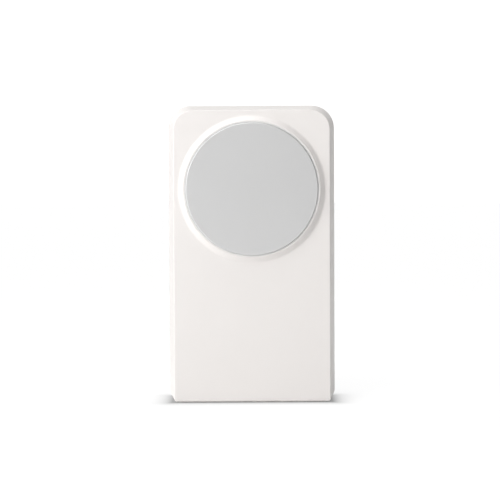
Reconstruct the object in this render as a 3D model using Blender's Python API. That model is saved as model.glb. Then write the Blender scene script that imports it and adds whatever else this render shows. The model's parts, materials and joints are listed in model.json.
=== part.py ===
"""A wall-mounted video doorbell, built as its separate pieces.

A white front cover with drafted sides carries a round boss. A silver one-way mirror disc fills
the boss: it is the bell button, and the camera looks out through it. A rear housing closes the
cover, and hangs on a wall plate. The lower half holds the battery, the speaker and the wiring
pocket with its terminals, charging socket and reset button.

Lengths below are millimetres; place() turns them into metres. A point is (x, u, z): x to the
right seen from the front, u the depth behind the front face, and z up from the base.
"""

import math

import bmesh
import bpy
from mathutils import Vector

MM = 0.001

# Casing
HEIGHT = 128.0  # of the back edge, which is the largest outline
WIDTH = 73.0
BODY_DEPTH = 22.8  # from the front face to the back of the rear housing
DRAFT = 3.2  # how far the sides and the top lean in from back to front
FRONT_CORNER = 8.4  # radius of the top corners at the front face
REAR_CORNER = 10.0
FRONT_BASE_CORNER = 0.8
REAR_BASE_CORNER = 1.8
EDGE = 0.3  # rounding of the front and back edges
BASE_EDGE = 0.6  # the same, along the base
PLINTH = 0.5  # height of the pad that keeps the base's edges off the ground
PLINTH_MARGIN = (5.0, 1.8)  # how far the pad lies in from the back's sides, and from front and back
WALL = 2.2
BACK_WALL = 2.2
PARTING = 17.5  # where the front cover ends
SEAM = 0.3
LEDGE = 4.0  # rim of the rear housing, which the gasket lies on

# Clearances
FIT = 0.3  # between neighbours that touch
CLOSE_FIT = 0.1
ASSEMBLED = 0.1  # between a board and what is soldered to it

# Bell button
DISC_Z = 91.2  # height of the button's axis
DISC_RADIUS = 28.2
DISC_THICKNESS = 1.8
DISC_PROUD = 0.6  # above the boss
DISC_EDGE = 0.4
TAPE_THICKNESS = 0.2
TAPE_INNER = 15.0
TAPE_OUTER = 27.6
BOSS_HEIGHT = 1.8
BOSS_TOP_RADIUS = 29.1
BOSS_SLOPE = 1.15  # outward run for each unit of depth
RING_INNER = 28.4
RING_OUTER = 28.75
RING_FLANGE = 31.0
RING_BACK = 8.2
CARRIER_HOLE = 13.4
CARRIER_RADIUS = 28.1
CARRIER_SKIRT = 26.8  # inner radius of its skirt
CARRIER_PLATE = 1.2
CATCH = (24.8, 4.2, 5.1)  # inner radius, front and back of the carrier's catch
FRAME = (22.8, 24.1)  # inner and outer radius of the button frame
FRAME_FRONT = 2.2
FRAME_LIP = (26.2, 3.1, 3.9)  # outer radius, front and back of the lip that holds the catch
SWITCH_X = 17.5  # of the two switches, left and right of the camera
SWITCH_HALF = 3.0
SWITCH_TALL = 3.5
PLUNGER_RADIUS = 1.5

# Camera, on the button's axis
CAMERA_HALF = 8.5
LENS_RADIUS = 5.3
BARREL_RADIUS = 6.6
INFRARED_OFFSET = 10.8
INFRARED_HALF = 1.4

# Posts, screws and boards
POST_X = 28.2
POST_RADIUS = 3.0
PILOT_RADIUS = 1.4
SCREW_HOLE = 1.5
SCREW_WELL = 2.9
SCREW_SEAT = 19.4  # depth of the housing screws' heads
SHANK_RADIUS = 1.1
HOUSING_SCREW_HEAD = (2.5, 1.9)  # radius and height
BOARD_SCREW_HEAD = (2.3, 1.4)
HOUSING_POST_ROWS = (116.0, 9.0)
BOARD_POST_ROW = 64.0
BOARD_FRONT = 9.5
BOARD_BACK = 10.7
BOARD_OUTLINE = (31.0, 60.0, 121.5)  # half width, low and high edge
POWER_BOARD_FRONT = 11.6
POWER_BOARD_BACK = 12.6

# Modules behind the main board: x0, z0, x1, z1 and thickness
PROCESSOR_SHIELD = (-13.0, 86.0, 11.0, 108.0, 2.4)
WIFI_MODULE = (14.0, 86.0, 26.0, 104.0, 2.2)
WIFI_ANTENNA = (-16.0, 113.0, 16.0, 119.0, 0.4)
BATTERY_CONNECTOR = (16.0, 66.0, 24.0, 71.0, 4.0)
SPEAKER_CONNECTOR = (-25.0, 68.0, -19.0, 72.0, 3.4)
RING_LED = (29.0, 1.0, 0.9)  # radius of their circle, half size, thickness

# Wiring pocket
POCKET = (17.0, 32.0, 60.0)  # half width, low and high edge
POCKET_FLOOR = 16.2  # depth of its rear face
POCKET_SKIN = 1.6
TERMINAL = (10.5, 52.0)
TERMINAL_HOLE = 3.3
TERMINAL_RADIUS = 3.0
TERMINAL_BORE = 1.8
TERMINAL_BACK = 16.0
USB_Z = 39.0
USB_HALF = (4.5, 1.7)
USB_BACK = 16.8
USB_SHELL = 0.4
RESET = (12.5, 39.0)
RESET_RADIUS = 2.1
COVER_PAD = (6.2, 35.2, 42.8, 17.1, 18.3)  # half width, low and high edge, front and back
COVER_HINGE = (17.7, 43.6)  # depth and height of its bending line

# Wall plate
PLATE = 1.6
PLATE_GAP = 0.2
PLATE_INSET = 2.6
PLATE_HOLE_MARGIN = 1.2
HOOK_X = 20.0
HOOK_HALF = 3.2
HOOK_Z = 102.0  # the edge that the bell hangs on
HOOK_NECK = 5.0  # height of the hook's neck
HOOK_LIP = 4.5  # how far the lip stands up behind the housing
HOOK_DEPTHS = (18.4, 20.2)
LIFT = 9.0  # how far the bell is raised off its hooks
UPPER_SLOT = (0.0, 112.0, 5.8, 2.5)  # centre x and z, half width and half height
LOWER_SLOT = (0.0, 24.5, 2.5, 4.0)
TAB = (LEDGE + LIFT + FIT, LEDGE + LIFT + FIT + 4.0)  # low and high edge
TAB_HALF = 4.4
TAB_FRONT = 18.0
SECURITY_U = 20.2  # depth of the security screw's axis
SECURITY_HEAD = (1.9, 0.9, 2.2)  # radius, low and high edge
SECURITY_RECESS = (2.15, 2.4)  # radius and top of the recess that the head sits in

# Battery and sound
BATTERY = (24.0, 2.5, 11.0, 20.0, 57.0)  # half width, front, back, low and high edge
BATTERY_CORNER = 3.5
SPEAKER_X = (-20.5, 10.5)
SPEAKER_U = (4.0, 16.0)
SPEAKER_Z = (4.5, 9.9)
SLOT_START = -17.5
SLOT_PITCH = 5.0
SLOT_COUNT = 6
SLOT_HALF = 0.7
SLOT_U = (6.0, 14.0)
MICROPHONE = (20.0, 10.0)  # x and depth
MICROPHONE_BORE = 0.7

SMOOTH = 96  # sides of a large circle
ROUND = 32
SMALL = 20

REAR = BODY_DEPTH + PLATE_GAP + PLATE
DISC_FRONT = -BOSS_HEIGHT - DISC_PROUD
DISC_BACK = DISC_FRONT + DISC_THICKNESS
CARRIER_FRONT = DISC_BACK + TAPE_THICKNESS + 2 * ASSEMBLED
CARRIER_BACK = CARRIER_FRONT + CARRIER_PLATE
MIDDLE = (REAR + DISC_FRONT) / 2  # the depth that lies at y = 0

WHITE = (0.90, 0.88, 0.86)
SILVER = (0.60, 0.60, 0.60)
MILKY = (0.93, 0.93, 0.92)
BLACK = (0.03, 0.03, 0.035)
GREY = (0.35, 0.36, 0.37)
RUBBER = (0.08, 0.08, 0.09)
BOARD_GREEN = (0.04, 0.22, 0.12)
STEEL = (0.62, 0.62, 0.60)
BRASS = (0.72, 0.55, 0.28)
GLASS = (0.10, 0.12, 0.16)
AMBER = (0.62, 0.36, 0.08)
BLUE = (0.10, 0.20, 0.42)
RED = (0.60, 0.07, 0.05)


def place(x, u, z):
    """A point of this file as metres in the object's frame."""
    return Vector((x * MM, (u - MIDDLE) * MM, z * MM))


# Shapes are collected in a bmesh, so that one object can hold several


def loft(mesh, loops, closed=False):
    """Walls from each loop of points to the next. The end loops are capped, or joined if closed."""
    rows = [[mesh.verts.new(point) for point in loop] for loop in loops]
    pairs = list(zip(rows, rows[1:]))
    if closed:
        pairs.append((rows[-1], rows[0]))
    else:
        mesh.faces.new(rows[0])
        mesh.faces.new(rows[-1])
    for near, far in pairs:
        for i in range(len(near)):
            j = (i + 1) % len(near)
            mesh.faces.new((near[i], near[j], far[j], far[i]))


def box(mesh, low, high):
    (x0, u0, z0), (x1, u1, z1) = low, high
    corners = ((x0, z0), (x1, z0), (x1, z1), (x0, z1))
    loft(mesh, [[place(x, u, z) for x, z in corners] for u in (u0, u1)])


def bar(mesh, section, x0, x1):
    """A piece with the same section all along x. The section lists (u, z)."""
    loft(mesh, [[place(x, u, z) for u, z in section] for x in (x0, x1)])


def turned(mesh, profile, x=0.0, z=DISC_Z, sides=ROUND, closed=False):
    """A shape turned about the depth axis. The profile lists (radius, u)."""
    turns = [2 * math.pi * i / sides for i in range(sides)]
    loops = [
        [place(x + radius * math.cos(a), u, z + radius * math.sin(a)) for a in turns]
        for radius, u in profile
    ]
    loft(mesh, loops, closed)


def upright(mesh, profile, x, u, sides=SMALL, closed=False):
    """A shape turned about a vertical axis. The profile lists (radius, z)."""
    turns = [2 * math.pi * i / sides for i in range(sides)]
    loops = [
        [place(x + radius * math.cos(a), u + radius * math.sin(a), z) for a in turns]
        for radius, z in profile
    ]
    loft(mesh, loops, closed)


def corner_points(corners):
    """Points round an outline whose corners list (x, y, centre x, centre y, radius, start, steps)."""
    points = []
    for x, y, radius, start, steps in corners:
        for i in range(steps + 1):
            a = math.radians(start + 90 * i / steps)
            points.append((x + radius * math.cos(a), y + radius * math.sin(a)))
    return points


def body_outline(u, inset=0.0, base=None, shift=0.0):
    """The body's outline at depth u, set in all round, or by another amount at the base."""
    base = PLINTH + (inset if base is None else base)
    back = u / BODY_DEPTH
    half = WIDTH / 2 - DRAFT * (1 - back) - inset
    top = HEIGHT - DRAFT * (1 - back) - inset
    least = 0.3
    round_top = max(FRONT_CORNER + (REAR_CORNER - FRONT_CORNER) * back - inset, least)
    round_base = max(FRONT_BASE_CORNER + (REAR_BASE_CORNER - FRONT_BASE_CORNER) * back - inset, least)
    corners = (
        (half - round_base, base + round_base, round_base, -90, 3),
        (half - round_top, top - round_top, round_top, 0, 12),
        (round_top - half, top - round_top, round_top, 90, 12),
        (round_base - half, base + round_base, round_base, 180, 3),
    )
    return [place(x, u + shift, z) for x, z in corner_points(corners)]


def fillet(run, radius):
    """How far a quarter round of this radius stands in, at this distance from its end."""
    left = max(radius - run, 0.0)
    return radius - math.sqrt(radius**2 - left**2)


def rounded_edge(u, inward):
    """Outlines of a rounded edge that ends at depth u. Inward is +1 at the front and -1 at the back."""
    runs = [EDGE * (1 - math.cos(math.radians(30 * step))) for step in range(4)]
    runs += [(EDGE + BASE_EDGE) / 2, BASE_EDGE]
    return [body_outline(u + inward * run, fillet(run, EDGE), fillet(run, BASE_EDGE)) for run in runs]


# Objects


def clear_scene():
    for thing in list(bpy.data.objects):
        bpy.data.objects.remove(thing)


def material(name, colour, roughness=0.5, metallic=0.0):
    made = bpy.data.materials.new(name)
    made.use_nodes = True
    shader = made.node_tree.nodes["Principled BSDF"]
    shader.inputs["Base Color"].default_value = (*colour, 1.0)
    shader.inputs["Roughness"].default_value = roughness
    shader.inputs["Metallic"].default_value = metallic
    return made


def empty_at(name, x, u, z):
    """An empty on a joint's axis, which the moving piece is parented to."""
    made = bpy.data.objects.new(name, None)
    made.location = place(x, u, z)
    bpy.context.scene.collection.objects.link(made)
    return made


def mesh_from(name, shape, origin):
    bmesh.ops.translate(shape, verts=shape.verts, vec=-origin)
    bmesh.ops.recalc_face_normals(shape, faces=shape.faces)
    mesh = bpy.data.meshes.new(name)
    shape.to_mesh(mesh)
    shape.free()
    mesh.shade_smooth()
    mesh.set_sharp_from_angle(angle=math.radians(30))
    return mesh


def part(name, shape, finish, parent=None, at=None):
    """One sub-part. Its origin is its joint's empty, or the point at, or the middle of the base."""
    origin = parent.location.copy() if parent else (place(*at) if at else Vector((0, 0, 0)))
    thing = bpy.data.objects.new(name, mesh_from(name, shape, origin))
    thing.data.materials.append(finish)
    bpy.context.scene.collection.objects.link(thing)
    if parent:
        thing.parent = parent
    else:
        thing.location = origin
    return thing


def copies(first, stem, places):
    """More objects that share the first one's mesh, at other (x, u, z) points."""
    for number, spot in enumerate(places, 2):
        thing = bpy.data.objects.new(f"{stem}_{number}", first.data)
        thing.location = place(*spot)
        bpy.context.scene.collection.objects.link(thing)


def combine(thing, shape, operation):
    """Adds a shape to a sub-part, or cuts it away, with a Boolean."""
    mesh = mesh_from("helper", shape, Vector((0, 0, 0)))
    helper = bpy.data.objects.new(f"{thing.name}_{operation.lower()}", mesh)
    helper.hide_render = True
    helper.display_type = "WIRE"
    bpy.context.scene.collection.objects.link(helper)
    modifier = thing.modifiers.new(operation.title(), "BOOLEAN")
    modifier.operation = operation
    modifier.solver = "EXACT"
    modifier.object = helper


def boxed(name, low, high, finish, parent=None):
    shape = bmesh.new()
    box(shape, low, high)
    return part(name, shape, finish, parent)


def round_part(name, profile, finish, parent=None, sides=ROUND, closed=False):
    """A part turned about the button's axis."""
    shape = bmesh.new()
    turned(shape, profile, sides=sides, closed=closed)
    return part(name, shape, finish, parent)


# Casing


def pad(shape, near, far):
    """The low pad under the base, between two depths."""
    half = WIDTH / 2 - PLINTH_MARGIN[0]
    box(shape, (-half, near, 0.0), (half, far, PLINTH + 1.0))


def front_cover(finish):
    shape = bmesh.new()
    inner = [body_outline(WALL, WALL), body_outline(PARTING, WALL)]
    outer = [body_outline(PARTING)] + rounded_edge(0.0, 1)[::-1]
    loft(shape, inner + outer)
    cover = part("front_cover", shape, finish)

    overlap = 1.0
    added = bmesh.new()
    foot = BOSS_TOP_RADIUS + BOSS_SLOPE * (BOSS_HEIGHT + overlap)
    turned(added, [(foot, overlap), (BOSS_TOP_RADIUS, -BOSS_HEIGHT)], sides=SMOOTH)
    rows = (*HOUSING_POST_ROWS, BOARD_POST_ROW)
    posts = [(side * POST_X, row) for side in (-1, 1) for row in rows]
    for x, z in posts:
        turned(added, [(POST_RADIUS, WALL - overlap), (POST_RADIUS, BOARD_FRONT - FIT)], x, z, SMALL)
    pad(added, PLINTH_MARGIN[1], PARTING - FIT)
    combine(cover, added, "UNION")

    holes = bmesh.new()
    bore = RING_OUTER + CLOSE_FIT
    turned(holes, [(bore, -BOSS_HEIGHT - overlap), (bore, WALL + overlap)], sides=SMOOTH)
    for x, z in posts:
        turned(holes, [(PILOT_RADIUS, WALL + 0.6), (PILOT_RADIUS, BOARD_FRONT + overlap)], x, z, SMALL)
    top = PLINTH + WALL + overlap
    for i in range(SLOT_COUNT):
        x = SLOT_START + SLOT_PITCH * i
        box(holes, (x - SLOT_HALF, SLOT_U[0], -overlap), (x + SLOT_HALF, SLOT_U[1], top))
    upright(holes, [(MICROPHONE_BORE, -overlap), (MICROPHONE_BORE, top)], *MICROPHONE)
    combine(cover, holes, "DIFFERENCE")


def rear_housing(finish):
    shape = bmesh.new()
    front = PARTING + SEAM
    inner = [body_outline(BODY_DEPTH - BACK_WALL, LEDGE), body_outline(front, LEDGE)]
    outer = [body_outline(front)] + rounded_edge(BODY_DEPTH, -1)[::-1]
    loft(shape, inner + outer)
    housing = part("rear_housing", shape, finish)

    half, low, high = POCKET
    skin, overlap = POCKET_SKIN, 1.0
    added = bmesh.new()
    box(
        added,
        (-half - skin, POCKET_FLOOR - skin, low - skin),
        (half + skin, BODY_DEPTH - overlap, high + skin),
    )
    posts = [(side * POST_X, row) for side in (-1, 1) for row in HOUSING_POST_ROWS]
    for x, z in posts:
        turned(added, [(POST_RADIUS, BOARD_BACK + FIT), (POST_RADIUS, BODY_DEPTH - overlap)], x, z, SMALL)
    pad(added, front + FIT, BODY_DEPTH - PLINTH_MARGIN[1])
    combine(housing, added, "UNION")

    behind = BODY_DEPTH + overlap
    holes = bmesh.new()
    box(holes, (-half, POCKET_FLOOR, low), (half, behind, high))
    for x, z in posts:
        shank, head = SCREW_HOLE, SCREW_WELL
        well = [(shank, BOARD_BACK - overlap), (shank, SCREW_SEAT), (head, SCREW_SEAT), (head, behind)]
        turned(holes, well, x, z, SMALL)
    wide = HOOK_HALF + overlap
    slot_base = HOOK_Z - HOOK_NECK - LIFT - 0.4
    for side in (-1, 1):
        x = side * HOOK_X
        box(holes, (x - wide, SCREW_SEAT, slot_base), (x + wide, behind, HOOK_Z + FIT))
    tab_half = TAB_HALF + 0.5
    box(holes, (-tab_half, TAB_FRONT - overlap, LEDGE - 0.1), (tab_half, behind, TAB[1] + FIT))
    combine(housing, holes, "DIFFERENCE")

    bores = bmesh.new()
    near, far = POCKET_FLOOR - skin - overlap, POCKET_FLOOR + overlap
    usb_x, usb_z = (half_size + 0.4 for half_size in USB_HALF)
    box(bores, (-usb_x, near, USB_Z - usb_z), (usb_x, far, USB_Z + usb_z))
    hole = RESET_RADIUS + 0.35
    turned(bores, [(hole, near), (hole, far)], *RESET, SMALL)
    for side in (-1, 1):
        turned(bores, [(TERMINAL_HOLE, near), (TERMINAL_HOLE, far)], side * TERMINAL[0], TERMINAL[1], SMALL)
    recess, recess_top = SECURITY_RECESS
    shank = SHANK_RADIUS + 0.25
    inside = PLINTH + LEDGE + overlap
    profile = [(recess, -overlap), (recess, recess_top), (shank, recess_top), (shank, inside)]
    upright(bores, profile, 0.0, SECURITY_U)
    combine(housing, bores, "DIFFERENCE")


def housing_gasket(finish):
    shape = bmesh.new()
    near, far = PARTING - 1.1, PARTING
    outside, inside = WALL + FIT, LEDGE - FIT
    corners = ((outside, near), (inside, near), (inside, far), (outside, far))
    loft(shape, [body_outline(u, inset) for inset, u in corners], closed=True)
    part("housing_gasket", shape, finish)


def wall_plate(finish):
    front = BODY_DEPTH + PLATE_GAP
    shape = bmesh.new()
    outline = [body_outline(BODY_DEPTH, PLATE_INSET, shift=u - BODY_DEPTH) for u in (front, REAR)]
    loft(shape, outline)
    plate = part("wall_plate", shape, finish)

    into = REAR - 0.5
    near, far = HOOK_DEPTHS
    base, lip = HOOK_Z - HOOK_NECK, HOOK_Z + HOOK_LIP
    hook = [(into, base), (into, HOOK_Z), (far, HOOK_Z), (far, lip), (near, lip), (near, base)]
    added = bmesh.new()
    for side in (-1, 1):
        bar(added, hook, side * HOOK_X - HOOK_HALF, side * HOOK_X + HOOK_HALF)
    low_tab, high_tab = TAB
    box(added, (-TAB_HALF, TAB_FRONT, low_tab), (TAB_HALF, into, high_tab))
    combine(plate, added, "UNION")

    overlap = 1.0
    half, low, high = POCKET
    margin = PLATE_HOLE_MARGIN
    opening = (0.0, (low + high) / 2, half + margin, (high - low) / 2 + margin)
    holes = bmesh.new()
    for x, z, wide, tall in (opening, UPPER_SLOT, LOWER_SLOT):
        box(holes, (x - wide, front - overlap, z - tall), (x + wide, REAR + overlap, z + tall))
    bore = SHANK_RADIUS + 0.2
    upright(holes, [(bore, low_tab - overlap), (bore, high_tab + overlap)], 0.0, SECURITY_U)
    combine(plate, holes, "DIFFERENCE")


def screws(stem, rows, tip, seat, head, finish):
    """A left and a right screw in each row. The head is its radius and height."""
    radius, height = head
    shape = bmesh.new()
    shank = [(SHANK_RADIUS, tip), (SHANK_RADIUS, seat)]
    turned(shape, [*shank, (radius, seat), (radius, seat + height)], POST_X, rows[0], SMALL)
    spots = [(side * POST_X, tip, row) for row in rows for side in (1, -1)]
    copies(part(f"{stem}_1", shape, finish, at=spots[0]), stem, spots[1:])


def fasteners(finish):
    screws("housing_screw", HOUSING_POST_ROWS, 6.0, SCREW_SEAT + FIT, HOUSING_SCREW_HEAD, finish)
    screws("board_screw", [BOARD_POST_ROW], 4.5, BOARD_BACK + 2 * ASSEMBLED, BOARD_SCREW_HEAD, finish)

    radius, low, high = SECURITY_HEAD
    slide = empty_at("security_screw_slide", 0.0, SECURITY_U, low)
    screw = bmesh.new()
    shank = [(SHANK_RADIUS, high), (SHANK_RADIUS, TAB[1] - 2 * FIT)]
    upright(screw, [(radius, low), (radius, high), *shank], 0.0, SECURITY_U)
    part("security_screw", screw, finish, slide)


# Bell button, with everything that travels with it


def bell_button(mirror, white, black, steel):
    slide = empty_at("bell_button_slide", 0.0, DISC_FRONT, DISC_Z)
    rim = [(DISC_RADIUS, DISC_BACK), (DISC_RADIUS, DISC_FRONT + DISC_EDGE)]
    face = (DISC_RADIUS - DISC_EDGE, DISC_FRONT)
    round_part("button_disc", [*rim, face], mirror, slide, SMOOTH)

    front, back = DISC_BACK + ASSEMBLED, DISC_BACK + ASSEMBLED + TAPE_THICKNESS
    band = [(TAPE_INNER, front), (TAPE_OUTER, front), (TAPE_OUTER, back), (TAPE_INNER, back)]
    round_part("disc_tape", band, black, slide, 2 * ROUND, closed=True)

    # A dished ring: its skirt ends in an inward lip that catches behind the button frame
    catch, catch_front, catch_back = CATCH
    dish = [
        (CARRIER_HOLE, CARRIER_FRONT),
        (CARRIER_RADIUS, CARRIER_FRONT),
        (CARRIER_RADIUS, catch_back),
        (catch, catch_back),
        (catch, catch_front),
        (CARRIER_SKIRT, catch_front),
        (CARRIER_SKIRT, CARRIER_BACK),
        (CARRIER_HOLE, CARRIER_BACK),
    ]
    round_part("button_carrier", dish, white, slide, 2 * ROUND, closed=True)

    start, end = CARRIER_BACK + 2 * ASSEMBLED, BOARD_FRONT - 2.2
    for number, side in enumerate((-1, 1), 1):
        x = side * SWITCH_X
        own_slide = empty_at(f"switch_slide_{number}", x, start, DISC_Z)
        plunger = bmesh.new()
        turned(plunger, [(PLUNGER_RADIUS, start), (PLUNGER_RADIUS, end)], x, DISC_Z, SMALL)
        part(f"switch_plunger_{number}", plunger, steel, own_slide)


def button_surround(milky, black, rubber):
    """The light ring round the disc, the frame that holds the carrier, its seal and the switches."""
    flange_front, flange_back = WALL + FIT, WALL + FIT + 0.9
    stem = RING_OUTER + 0.4
    ring = [
        (RING_INNER, -BOSS_HEIGHT),
        (RING_OUTER, -BOSS_HEIGHT),
        (RING_OUTER, flange_front),
        (RING_FLANGE, flange_front),
        (RING_FLANGE, flange_back),
        (stem, flange_back),
        (stem, RING_BACK),
        (RING_INNER, RING_BACK),
    ]
    round_part("light_ring", ring, milky, None, SMOOTH, closed=True)

    inner, outer = FRAME
    lip, lip_front, lip_back = FRAME_LIP
    frame_back = BOARD_FRONT - FIT
    frame = [
        (inner, FRAME_FRONT),
        (outer, FRAME_FRONT),
        (outer, lip_front),
        (lip, lip_front),
        (lip, lip_back),
        (outer, lip_back),
        (outer, frame_back),
        (inner, frame_back),
    ]
    round_part("button_frame", frame, black, None, 2 * ROUND, closed=True)

    seal_inner, seal_outer = outer + 0.2, lip + FIT
    front, back = 2.0, lip_front - 2 * ASSEMBLED
    seal = [(seal_inner, front), (seal_outer, front), (seal_outer, back), (seal_inner, back)]
    round_part("button_seal", seal, rubber, None, 2 * ROUND, closed=True)

    half, back = SWITCH_HALF, BOARD_FRONT - ASSEMBLED
    well_radius = PLUNGER_RADIUS + FIT
    for number, side in enumerate((-1, 1), 1):
        x = side * SWITCH_X
        low, high = (x - half, back - SWITCH_TALL, DISC_Z - half), (x + half, back, DISC_Z + half)
        body = boxed(f"button_switch_{number}", low, high, black)
        well = bmesh.new()
        turned(well, [(well_radius, back - SWITCH_TALL - 1.0), (well_radius, back - 0.8)], x, DISC_Z, SMALL)
        combine(body, well, "DIFFERENCE")


# Camera


def camera(black, glass, green, amber):
    half = CAMERA_HALF
    holder = boxed("camera_holder", (-half, 4.7, DISC_Z - half), (half, 7.9, DISC_Z + half), black)
    tube = bmesh.new()
    turned(tube, [(half - 0.4, 3.1), (half - 0.4, 6.0)])
    combine(holder, tube, "UNION")
    hollow = bmesh.new()
    turned(hollow, [(BARREL_RADIUS + FIT, 2.0), (BARREL_RADIUS + FIT, 7.2)])
    combine(holder, hollow, "DIFFERENCE")
    sensor_half = 3.5
    room = sensor_half + 1.5
    well = bmesh.new()
    box(well, (-room, 6.8, DISC_Z - room), (room, 9.0, DISC_Z + room))
    combine(holder, well, "DIFFERENCE")

    mouth = LENS_RADIUS + FIT
    barrel = [
        (mouth, 1.6),
        (BARREL_RADIUS + 1.1, 1.6),
        (BARREL_RADIUS + 1.1, 2.8),
        (BARREL_RADIUS, 2.8),
        (BARREL_RADIUS, 6.6),
        (2.4, 6.6),
        (2.4, 3.9),
        (mouth, 3.9),
    ]
    round_part("lens_barrel", barrel, black, closed=True)
    turns = [math.radians(a) for a in (15, 35, 55, 75, 90)]
    dome = [(LENS_RADIUS * math.sin(a), 3.0 - 1.4 * math.cos(a)) for a in turns]
    round_part("lens_glass", [*dome, (LENS_RADIUS, 3.6)], glass)

    low, high = (-sensor_half, 7.2, DISC_Z - sensor_half), (sensor_half, 7.8, DISC_Z + sensor_half)
    boxed("image_sensor", low, high, glass)
    boxed("camera_board", (-half, 8.1, DISC_Z - half), (half, 9.1, DISC_Z + half), green)

    inner, outer = half, CARRIER_HOLE - 0.2
    front, back = 3.6, 4.4
    ring = [(inner, front), (outer, front), (outer, back), (inner, back)]
    round_part("infrared_board", ring, green, closed=True)
    size = INFRARED_HALF
    for number, z in enumerate((DISC_Z + INFRARED_OFFSET, DISC_Z - INFRARED_OFFSET), 1):
        low, high = (-size, 2.0, z - size), (size, front - ASSEMBLED, z + size)
        boxed(f"infrared_led_{number}", low, high, glass)

    low_edge = DISC_Z - half
    route = [(8.5, low_edge - 0.7), (8.7, low_edge - 2.6), (9.1, low_edge - 4.6), (9.2, low_edge - 8.6)]
    ribbon("camera_flex", route, -4.0, 4.0, amber)


def ribbon(name, route, x0, x1, finish):
    """A flat cable along a route of (u, z) points, from x0 to x1."""
    thickness = 0.16
    shape = bmesh.new()
    loops = []
    for u, z in route:
        corners = ((x0, u), (x1, u), (x1, u + thickness), (x0, u + thickness))
        loops.append([place(x, depth, z) for x, depth in corners])
    loft(shape, loops)
    part(name, shape, finish)


# Boards and what stands on them


def main_board(green, steel, milky, amber):
    half, low, high = BOARD_OUTLINE
    small, large, steps = 1.5, 6.0, 4
    corners = (
        (half - small, low + small, small, -90, steps),
        (half - large, high - large, large, 0, steps),
        (large - half, high - large, large, 90, steps),
        (small - half, low + small, small, 180, steps),
    )
    shape = bmesh.new()
    loft(shape, [[place(x, u, z) for x, z in corner_points(corners)] for u in (BOARD_FRONT, BOARD_BACK)])
    board = part("main_board", shape, green)
    holes = bmesh.new()
    for side in (-1, 1):
        for row in (HOUSING_POST_ROWS[0], BOARD_POST_ROW):
            profile = [(SCREW_HOLE, BOARD_FRONT - 1.0), (SCREW_HOLE, BOARD_BACK + 1.0)]
            turned(holes, profile, side * POST_X, row, SMALL)
    combine(board, holes, "DIFFERENCE")

    modules = {
        "processor_shield": (PROCESSOR_SHIELD, steel),
        "wifi_module": (WIFI_MODULE, steel),
        "wifi_antenna": (WIFI_ANTENNA, amber),
        "battery_connector": (BATTERY_CONNECTOR, milky),
        "speaker_connector": (SPEAKER_CONNECTOR, milky),
    }
    front = BOARD_BACK + ASSEMBLED
    for name, ((x0, z0, x1, z1, thickness), finish) in modules.items():
        boxed(name, (x0, front, z0), (x1, front + thickness, z1), finish)

    radius, size, thickness = RING_LED
    back = BOARD_FRONT - ASSEMBLED
    for number in range(4):
        a = math.radians(45 + 90 * number)
        x, z = radius * math.cos(a), DISC_Z + radius * math.sin(a)
        low, high = (x - size, back - thickness, z - size), (x + size, back, z + size)
        boxed(f"ring_led_{number + 1}", low, high, milky)


def power_parts(green, brass, steel, rubber, amber, red):
    """The small board behind the wiring pocket, and what reaches through the pocket's floor."""
    half, low, high = POCKET
    boxed("power_board", (-half, POWER_BOARD_FRONT, low + 1.0), (half, POWER_BOARD_BACK, high - 1.4), green)
    route = [(11.3, 55.0), (11.3, 59.0), (11.2, 62.0), (10.9, 66.0)]
    ribbon("power_flex", route, -9.0, 1.0, amber)

    front = POWER_BOARD_BACK + ASSEMBLED
    for number, side in enumerate((1, -1), 1):
        x, z = side * TERMINAL[0], TERMINAL[1]
        post = bmesh.new()
        bore, radius = TERMINAL_BORE, TERMINAL_RADIUS
        profile = [(bore, front), (radius, front), (radius, TERMINAL_BACK), (bore, TERMINAL_BACK)]
        turned(post, profile, x, z, SMALL, closed=True)
        part(f"terminal_post_{number}", post, brass, at=(x, front, z))
        seat = TERMINAL_BACK + 1.0
        slide = empty_at(f"terminal_screw_slide_{number}", x, seat, z)
        screw = bmesh.new()
        shank, head = TERMINAL_BORE - FIT, TERMINAL_RADIUS + 0.2
        turned(screw, [(shank, front + 0.5), (shank, seat), (head, seat), (head, seat + 1.4)], x, z, SMALL)
        part(f"terminal_screw_{number}", screw, steel, slide)

    wide, tall = USB_HALF
    socket = boxed("usb_socket", (-wide, front, USB_Z - tall), (wide, USB_BACK, USB_Z + tall), steel)
    mouth_x, mouth_z = wide - USB_SHELL, tall - USB_SHELL
    mouth = bmesh.new()
    box(mouth, (-mouth_x, front + 0.9, USB_Z - mouth_z), (mouth_x, USB_BACK + 1.0, USB_Z + mouth_z))
    combine(socket, mouth, "DIFFERENCE")

    dome = bmesh.new()
    turned(dome, [(2.0, front), (0.9, front + 0.3)], *RESET, SMALL)
    part("reset_dome", dome, steel)
    slide = empty_at("reset_button_slide", RESET[0], POCKET_FLOOR, RESET[1])
    button = bmesh.new()
    flange, radius, back = RESET_RADIUS + 0.8, RESET_RADIUS, POCKET_FLOOR + 1.0
    profile = [(flange, 13.8), (flange, 14.3), (radius, 14.3), (radius, back - 0.2), (radius - 0.2, back)]
    turned(button, profile, *RESET, SMALL)
    part("reset_button", button, red, slide)

    half, low, high, near, far = COVER_PAD
    depth, bend = COVER_HINGE
    hinge = empty_at("port_cover_hinge", 0.0, depth, bend)
    flap = boxed("port_cover", (-half, near, low), (half, far, high), rubber, hinge)
    added = bmesh.new()
    plug_x, plug_z = mouth_x - 0.5, mouth_z - 0.55
    box(added, (-plug_x, USB_BACK - 0.8, USB_Z - plug_z), (plug_x, near + FIT, USB_Z + plug_z))
    strip = 2.2
    box(added, (-strip, depth - FIT, high - 0.8), (strip, depth + FIT, bend + 0.4))
    combine(flap, added, "UNION")
    base = bend + 1.2
    boxed("port_cover_anchor", (-2.5, POCKET_FLOOR + 0.2, base), (2.5, far - 0.2, base + 2.8), rubber)


# Power and sound


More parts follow.
